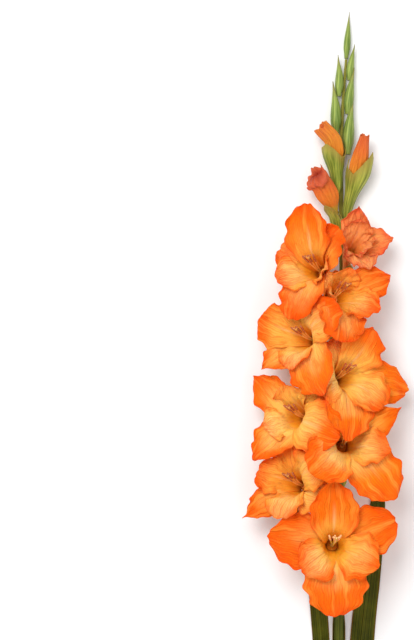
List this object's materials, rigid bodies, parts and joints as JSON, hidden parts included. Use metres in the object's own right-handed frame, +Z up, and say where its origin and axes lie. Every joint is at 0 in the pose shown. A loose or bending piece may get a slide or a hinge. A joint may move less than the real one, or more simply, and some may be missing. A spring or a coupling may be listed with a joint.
{
  "type": "cut gladiolus",
  "caption": "Cut flower spike with funnel-shaped ruffled blooms in two ranks, buds above them and sword-shaped leaves below, lying on its back.",
  "frame": {"origin": "on the surface that the flower lies on, under the middle of its length and width", "axes": "+Y along the stem from its cut end to the spike's tip, +Z up out of the open blooms, +X to the right of the stem as seen from above"},
  "size_m": [0.1513, 0.9737, 0.0906],
  "materials": {
    "tepal_orange": "soft satin petal",
    "tepal_salmon": "soft satin petal",
    "stamen_cream": "matte",
    "bract_green": "soft satin leaf",
    "bud_green": "soft satin leaf",
    "stem_green": "satin",
    "leaf_green": "satin leaf"
  },
  "bodies": {
    "root": {"stem": "stem_green", "leaf_right": "leaf_green", "leaf_left": "leaf_green", "leaf_sheath": "leaf_green", "bloom_a": "tepal_orange", "stamens_a": "stamen_cream", "bracts_a": "bract_green", "bloom_b": "tepal_orange", "stamens_b": "stamen_cream", "bracts_b": "bract_green", "bloom_c": "tepal_orange", "stamens_c": "stamen_cream", "bracts_c": "bract_green", "bloom_d": "tepal_orange", "stamens_d": "stamen_cream", "bracts_d": "bract_green", "bloom_e": "tepal_orange", "stamens_e": "stamen_cream", "bracts_e": "bract_green", "bloom_f": "tepal_orange", "stamens_f": "stamen_cream", "bracts_f": "bract_green", "bloom_g": "tepal_orange", "stamens_g": "stamen_cream", "bracts_g": "bract_green", "bloom_h": "tepal_orange", "stamens_h": "stamen_cream", "bracts_h": "bract_green", "bloom_i": "tepal_salmon", "bracts_i": "bract_green", "bud_j": "tepal_salmon", "bracts_j": "bract_green", "bud_k": "tepal_salmon", "bracts_k": "bract_green", "bud_l": "tepal_salmon", "bracts_l": "bract_green", "bud_green_1": "bud_green", "bud_green_2": "bud_green", "bud_green_3": "bud_green", "bud_green_4": "bud_green", "bud_green_5": "bud_green", "bud_green_6": "bud_green"}
  },
  "joints": []
}
